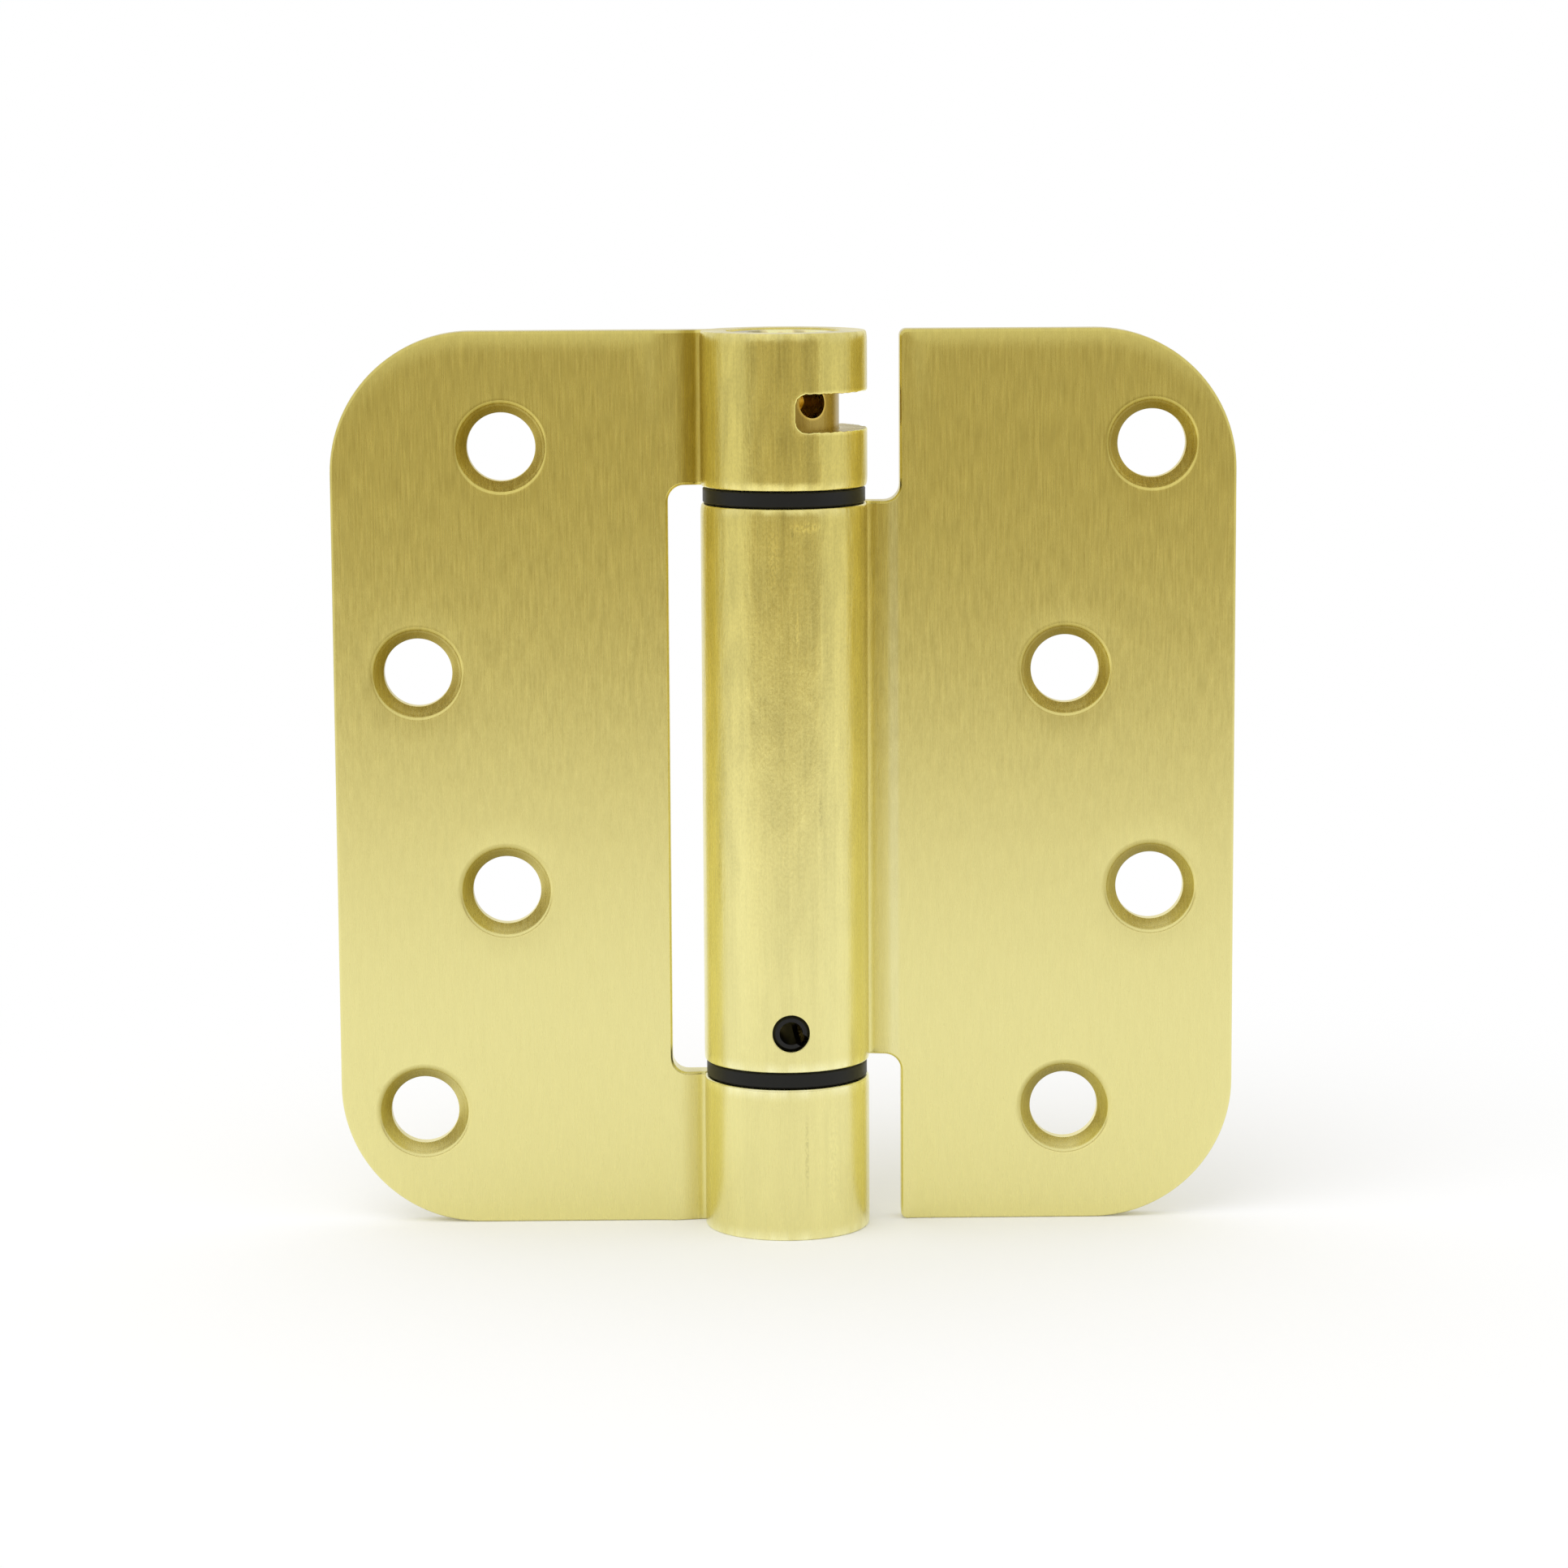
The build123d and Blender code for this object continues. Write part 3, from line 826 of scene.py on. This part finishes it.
def rubbed_roll(node, place, height, on_roll, change, normal):
    """The roll's rubbed bands, lines, specks and marks, strongest on the upper knuckle. One of the lighter
    marks is a painted highlight.
    """
    rub = times(node, on_roll, spread(node, height, RUB_LOW, RUB_HIGH, LOW_SHARE, 1.0, True))
    bands = streaks(node, place, *BANDS)
    patches = streaks(node, place, *PATCHES)
    lines = streaks(node, place, *LINES)
    specks = streaks(node, place, *SPECKS)
    rubbed = plus(node, bands, patches)
    for value, span, amount, distance in (
        (rubbed, RUBBED_RANGE, RUBBED_TONE, RUBBED_BUMP), (lines, NOISE_RANGE, LINE_TONE, LINE_BUMP),
        (specks, NOISE_RANGE, SPECK_TONE, LINE_BUMP),
    ):
        change = plus(node, change, times(node, spread(node, value, *span, -amount, amount), rub))
        normal = bumped(node, times(node, value, rub), distance, normal)
    dark = spread(node, specks, *DARK_RANGE, 0.0, DARK_TONE)
    change = plus(node, change, times(node, dark, rub))
    speckled = spread(node, specks, 0.42, 0.56, 0.1, 1.0)
    for run, z, half_run, half_z, amount in ROLL_MARKS_AND_PAINTED_HIGHLIGHT:
        moved = vector(node, "ADD", place, (-run, -z, 0))
        away = length(node, vector(node, "MULTIPLY", moved, (1 / half_run, 1 / half_z, 0)))
        mark = times(node, spread(node, away, 0.2, 1.0, amount, 0.0, True), speckled)
        change = plus(node, change, mark)
    return change, normal


def add_painted_light(node, tint, change):
    """The tint and tone with the sheet's painted light and shade added."""
    painted_light = node("ShaderNodeSeparateXYZ", {"Vector": node(
        "ShaderNodeAttribute", attribute_name="painted_light").outputs["Vector"]})
    change = plus(node, change, painted_light.outputs[1])
    for amount, other in ((painted_light.outputs[0], PAINTED_SHADE_TINT), (painted_light.outputs[2], PAINTED_LIGHT_TINT)):
        part = node("ShaderNodeMix", {"Factor": amount, "A": (1, 1, 1, 1), "B": other},
                    data_type="RGBA").outputs["Result"]
        tint = vector(node, "MULTIPLY", tint, part)
    return tint, change


def plug_painted_light(node, place, height, level, change):
    """Painted glints on the plug's top, light and dark, and painted light round its cross holes."""
    glints = streaks(node, place, *GLINTS)
    change = plus(node, change, times(node, spread(node, glints, *GLINT_RANGE, *GLINT_TONES), level))
    rise = plus(node, height, -CROSS_HOLE_Z)
    for angle in CROSS_HOLE_ANGLES:
        across = node("ShaderNodeVectorMath", {0: place, 1: (cos(angle), 0, sin(angle))},
                      operation="DOT_PRODUCT").outputs["Value"]
        away = length(node, node("ShaderNodeCombineXYZ", {"X": across, "Y": rise}).outputs[0])
        edge = spread(node, away, *CROSS_HOLE_EDGE, CROSS_HOLE_TONE, 0.0)
        change = plus(node, change, edge)
    return change


def brushed_brass(name, deep, pale, low, high, source, is_leaf):
    """Satin brass, brushed along the height. source is the node output with (run, height, depth).

    Its colour goes from pale below the height low to deep above the height high, painted light and shade.
    For a leaf it adds the rubbed roll and the painted light and shade. Otherwise it is a plug, with painted
    glints."""
    material, shader, node, tree = new_material(name)
    place = source(node)
    run, height, depth = node("ShaderNodeSeparateXYZ", {"Vector": place}).outputs
    fine = streaks(node, place, *FINE_GRAIN)
    broad = streaks(node, place, *BROAD_GRAIN)
    level = spread(node, height, low, high, 0.0, 1.0, True)
    tint = node("ShaderNodeMix", {"Factor": level, "A": pale, "B": deep},
                data_type="RGBA").outputs["Result"]
    strength = spread(node, height, GRAIN_LOW, GRAIN_HIGH, LOW_SHARE, 1.0, True)
    if is_leaf:
        on_roll = spread(node, run, ROLL_START, ROLL_START + 3, 0.0, 1.0, True)
        cut = times(node, spread(node, depth, 0.25, 0.5, 0.0, 1.0),
                    spread(node, depth, SHEET - 0.5, SHEET - 0.25, 1.0, 0.0))
        strength = times(node, strength, spread(node, cut, 0.0, 1.0, 1.0, CUT_GRAIN))
        strength = times(node, strength, spread(node, on_roll, 0.0, 1.0, 1.0, ROLL_GRAIN))
    broad_tone = spread(node, broad, *NOISE_RANGE, -BROAD_TONE, BROAD_TONE)
    fine_tone = spread(node, fine, *NOISE_RANGE, -FINE_TONE, FINE_TONE)
    change = times(node, plus(node, broad_tone, fine_tone), strength)
    first = node("ShaderNodeBump", {"Height": times(node, fine, strength), "Distance": FINE_BUMP})
    normal = bumped(node, times(node, broad, strength), BROAD_BUMP, first.outputs[0])
    if is_leaf:
        change, normal = rubbed_roll(node, place, height, on_roll, change, normal)
        # Painted light and shade, from the sheet's attribute
        tint, change = add_painted_light(node, tint, change)
    else:
        change = plug_painted_light(node, place, height, level, change)
    tinted = node("ShaderNodeVectorMath", {0: tint, "Scale": plus(node, change, 1.0)}, operation="SCALE")
    tree.links.new(tinted.outputs[0], shader.inputs["Base Color"])
    tree.links.new(spread(node, fine, 0.25, 0.75, *BRASS_ROUGHNESS), shader.inputs["Roughness"])
    tree.links.new(normal, shader.inputs["Normal"])
    shader.inputs["Metallic"].default_value = 1.0
    return material


def sheet_place(node):
    """The place on a leaf's unrolled sheet, in millimetres."""
    return node("ShaderNodeAttribute", attribute_name="grain").outputs["Vector"]


def object_place(node):
    """The place on a plain object in millimetres, with its height second."""
    scaled = node("ShaderNodeVectorMath", {0: node("ShaderNodeTexCoord").outputs["Object"],
                                           1: (1000.0, 1000.0, 1000.0)}, operation="MULTIPLY")
    split = node("ShaderNodeSeparateXYZ", {"Vector": scaled.outputs[0]})
    return node("ShaderNodeCombineXYZ", {"X": split.outputs[0], "Y": split.outputs[2],
                                         "Z": split.outputs[1]}).outputs[0]


def plain_surface(name, color, roughness, metallic):
    """One colour, with a slightly uneven roughness."""
    material, shader, node, tree = new_material(name)
    noise = node("ShaderNodeTexNoise", {
        "Vector": node("ShaderNodeTexCoord").outputs["Object"], "Scale": 2500.0, "Detail": 3.0})
    rough = node("ShaderNodeMapRange", {"Value": noise.outputs[0], "To Min": roughness * 0.8,
                                        "To Max": roughness * 1.2})
    tree.links.new(rough.outputs[0], shader.inputs["Roughness"])
    shader.inputs["Base Color"].default_value = color
    shader.inputs["Metallic"].default_value = metallic
    shader.inputs["Specular IOR Level"].default_value = 0.25
    return material


# Streaks of noise: changes to the millimetre across and along, detail, seed, distortion
FINE_GRAIN = (5.5, 0.22, 3, 3.0)
BROAD_GRAIN = (1.5, 0.3, 3, 11.0)
BANDS = (0.45, 0.015, 2, 23.0)
PATCHES = (0.5, 0.16, 3, 31.0, 0.4)
LINES = (2.6, 0.06, 2, 37.0)
SPECKS = (4.0, 2.2, 3, 41.0)
GLINTS = (0.5, 0.5, 1, 53.0)

# The part of each noise that is used, the tone it gives and its bump in metres
NOISE_RANGE = (0.3, 0.7)
FINE_TONE = 0.06
BROAD_TONE = 0.055
FINE_BUMP = 0.00001
BROAD_BUMP = 0.00003
RUBBED_RANGE = (0.8, 1.2)
RUBBED_TONE = 0.09
RUBBED_BUMP = 0.00006
LINE_TONE = 0.05
LINE_BUMP = 0.000012
SPECK_TONE = 0.08
DARK_RANGE = (0.66, 0.78)
DARK_TONE = -0.3
# Painted glints on the plug's top: painted shade where darker, painted highlights where lighter
GLINT_RANGE = (0.42, 0.58)
GLINT_TONES = (-0.5, 0.3)
BRASS_ROUGHNESS = (0.22, 0.30)

# The brushing is stronger higher up, and weaker on the roll and on cut edges
GRAIN_LOW = -30.0
GRAIN_HIGH = 25.0
RUB_LOW = -35.0
RUB_HIGH = 15.0
LOW_SHARE = 0.25
CUT_GRAIN = 0.2
ROLL_GRAIN = 0.5

# Marks on the roll: dark rubs and specks, and lighter patches; the lighter column low on the lower knuckle
# is a painted highlight.
# Columns: run, height, half width, half height, change of tone
ROLL_MARKS_AND_PAINTED_HIGHLIGHT = (
    (run_at(257), -41.0, 0.35, 7.0, -0.22),
    (run_at(237), -42.0, 1.0, 9.0, 0.07),
    (run_at(294), -2.0, 0.4, 3.0, -0.3),
    (run_at(275), 28.9, 0.2, 1.1, -0.5),
    (run_at(262), 26.0, 0.9, 5.0, 0.16),
    (run_at(284), 29.5, 2.6, 0.9, 0.3),
    (run_at(278), 18.0, 0.3, 4.0, 0.2),
)

# Colours. The leaves' brass is paler low down, a painted reflection, and the plug is darker on its side in
# the barrel, painted shade, than on its top.
# The strip tint darkens painted shade, and the pale tint lights painted highlights and reflections.
BRASS_DEEP = (0.73, 0.62, 0.18, 1)
BRASS_PALE = (0.835, 0.77, 0.34, 1)
PAINTED_SHADE_TINT = (0.67, 0.60, 0.32, 1)
PAINTED_LIGHT_TINT = (1.0, 1.04, 1.35, 1)
PLUG_SIDE = (0.46, 0.33, 0.08, 1)
PLUG_TOP = (0.84, 0.74, 0.38, 1)
SPRING_STEEL = (0.35, 0.34, 0.32, 1)
BLACK_STEEL = (0.03, 0.03, 0.03, 1)
WASHER_NYLON = (0.008, 0.008, 0.007, 1)
LEAF_PAINTED_LIGHT_HEIGHTS = (-30.0, 40.0)
PLUG_PAINTED_LIGHT_HEIGHTS = (44.5, 45.5)
leaf_brass = brushed_brass("leaf_brass", BRASS_DEEP, BRASS_PALE, *LEAF_PAINTED_LIGHT_HEIGHTS, sheet_place, True)
plug_brass = brushed_brass("plug_brass", PLUG_TOP, PLUG_SIDE, *PLUG_PAINTED_LIGHT_HEIGHTS, object_place, False)
spring_steel = plain_surface("spring_steel", SPRING_STEEL, 0.35, 1.0)
black_steel = plain_surface("black_steel", BLACK_STEEL, 0.35, 1.0)
washer_nylon = plain_surface("washer_nylon", WASHER_NYLON, 0.42, 0.0)


def dress(made, material):
    """Gives an object this one material."""
    made.data.materials.clear()
    made.data.materials.append(material)


dress(frame_sheet, leaf_brass)
dress(door_sheet, leaf_brass)
for node_name, material in {
    "adjusting_plug": plug_brass, "anchor_plug": plug_brass, "torsion_spring": spring_steel,
    "spring_pin": black_steel, "upper_washer": washer_nylon, "lower_washer": washer_nylon,
}.items():
    dress(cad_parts[node_name], material)


def flat_card(name, corners, material):
    """A flat stage card through four corners, in metres."""
    mesh = bpy.data.meshes.new(name)
    mesh.from_pydata(corners, [], [(0, 1, 2, 3)])
    card = bpy.data.objects.new(name, mesh)
    bpy.context.scene.collection.objects.link(card)
    card.data.materials.append(material)
    return card


# The stage, in metres
FLOOR_FRONT = -0.40
FLOOR_SIDE = 0.35
FLOOR_BACK = 3.0
FLOOR_ALBEDO = 0.9
FLOOR_LIFT = 0.10
SHADOW_START = 0.06
SHADOW_END = 0.18


def floor_material():
    """Pale floor that keeps the shadow. To the camera it turns white away from the hinge."""
    material = bpy.data.materials.new("floor")
    material.use_nodes = True
    tree = material.node_tree
    tree.nodes.clear()
    node = node_maker(tree)
    path = node("ShaderNodeLightPath")
    seen = path.outputs["Is Camera Ray"]
    lifted = node("ShaderNodeMath", {0: seen, 1: path.outputs["Is Glossy Ray"]},
                  operation="MAXIMUM").outputs[0]
    away = node("ShaderNodeVectorMath", {0: node("ShaderNodeTexCoord").outputs["Object"]},
                operation="LENGTH").outputs["Value"]
    fade = times(node, spread(node, away, SHADOW_START, SHADOW_END, 0.0, 1.0, True), seen)
    diffuse = node("ShaderNodeBsdfDiffuse", {"Color": (FLOOR_ALBEDO, FLOOR_ALBEDO, FLOOR_ALBEDO, 1)})
    glow = node("ShaderNodeEmission", {"Strength": times(node, lifted, FLOOR_LIFT)})
    near = node("ShaderNodeAddShader", {0: diffuse.outputs[0], 1: glow.outputs[0]})
    white = node("ShaderNodeEmission")
    both = node("ShaderNodeMixShader", {0: fade, 1: near.outputs[0], 2: white.outputs[0]})
    node("ShaderNodeOutputMaterial", {"Surface": both.outputs[0]})
    return material


floor_z = -TOP * MM
flat_card("floor", [(-FLOOR_SIDE, FLOOR_FRONT, floor_z), (FLOOR_SIDE, FLOOR_FRONT, floor_z),
                    (FLOOR_SIDE, FLOOR_BACK, floor_z), (-FLOOR_SIDE, FLOOR_BACK, floor_z)], floor_material())


def flag_material():
    """The warm dark side of the studio, seen only in the brass."""
    material, shader, _, _ = new_material("flag")
    shader.inputs["Base Color"].default_value = (0, 0, 0, 1)
    shader.inputs["Specular IOR Level"].default_value = 0.0
    shader.inputs["Emission Color"].default_value = FLAG_COLOUR
    shader.inputs["Emission Strength"].default_value = 1.0
    return material


FLAG_Y = -0.65
FLAG_SIDE = 0.8
FLAG_LOW = -0.6
FLAG_HIGH = 0.12
FLAG_COLOUR = (0.47, 0.41, 0.26, 1)
flag = flat_card("flag", [(-FLAG_SIDE, FLAG_Y, FLAG_LOW), (FLAG_SIDE, FLAG_Y, FLAG_LOW),
                          (FLAG_SIDE, FLAG_Y, FLAG_HIGH), (-FLAG_SIDE, FLAG_Y, FLAG_HIGH)], flag_material())
flag.visible_camera = False
flag.visible_diffuse = False
flag.visible_shadow = False


WORLD_LEVEL = 0.85


def studio_world():
    """White to the camera, a little softer in reflections and as fill light."""
    world = bpy.data.worlds.new("studio")
    bpy.context.scene.world = world
    world.use_nodes = True
    tree = world.node_tree
    background = tree.nodes["Background"]
    background.inputs["Color"].default_value = (1, 1, 1, 1)
    path = tree.nodes.new("ShaderNodeLightPath")
    seen = tree.nodes.new("ShaderNodeMath")
    seen.operation = "MAXIMUM"
    tree.links.new(path.outputs["Is Camera Ray"], seen.inputs[0])
    tree.links.new(path.outputs["Is Transmission Ray"], seen.inputs[1])
    level = tree.nodes.new("ShaderNodeMapRange")
    level.inputs["To Min"].default_value = WORLD_LEVEL
    level.inputs["To Max"].default_value = 1.0
    tree.links.new(seen.outputs[0], level.inputs["Value"])
    tree.links.new(level.outputs[0], background.inputs["Strength"])


studio_world()


def soft_box(name, place, size, watts):
    """A square soft lamp that faces the hinge."""
    data = bpy.data.lights.new(name, "AREA")
    data.shape = "RECTANGLE"
    data.size, data.size_y = size
    data.energy = watts
    lamp = bpy.data.objects.new(name, data)
    lamp.location = place
    lamp.rotation_mode = "QUATERNION"
    lamp.rotation_quaternion = (-Vector(place)).to_track_quat("-Z", "Y")
    lamp.visible_glossy = False
    bpy.context.scene.collection.objects.link(lamp)


KEY_PLACE = (-0.5, -0.7, 1.2)
KEY_SIZE = (1.2, 1.2)
KEY_WATTS = 6.0
soft_box("key", KEY_PLACE, KEY_SIZE, KEY_WATTS)

view = bpy.context.scene.view_settings
view.view_transform = "Standard"
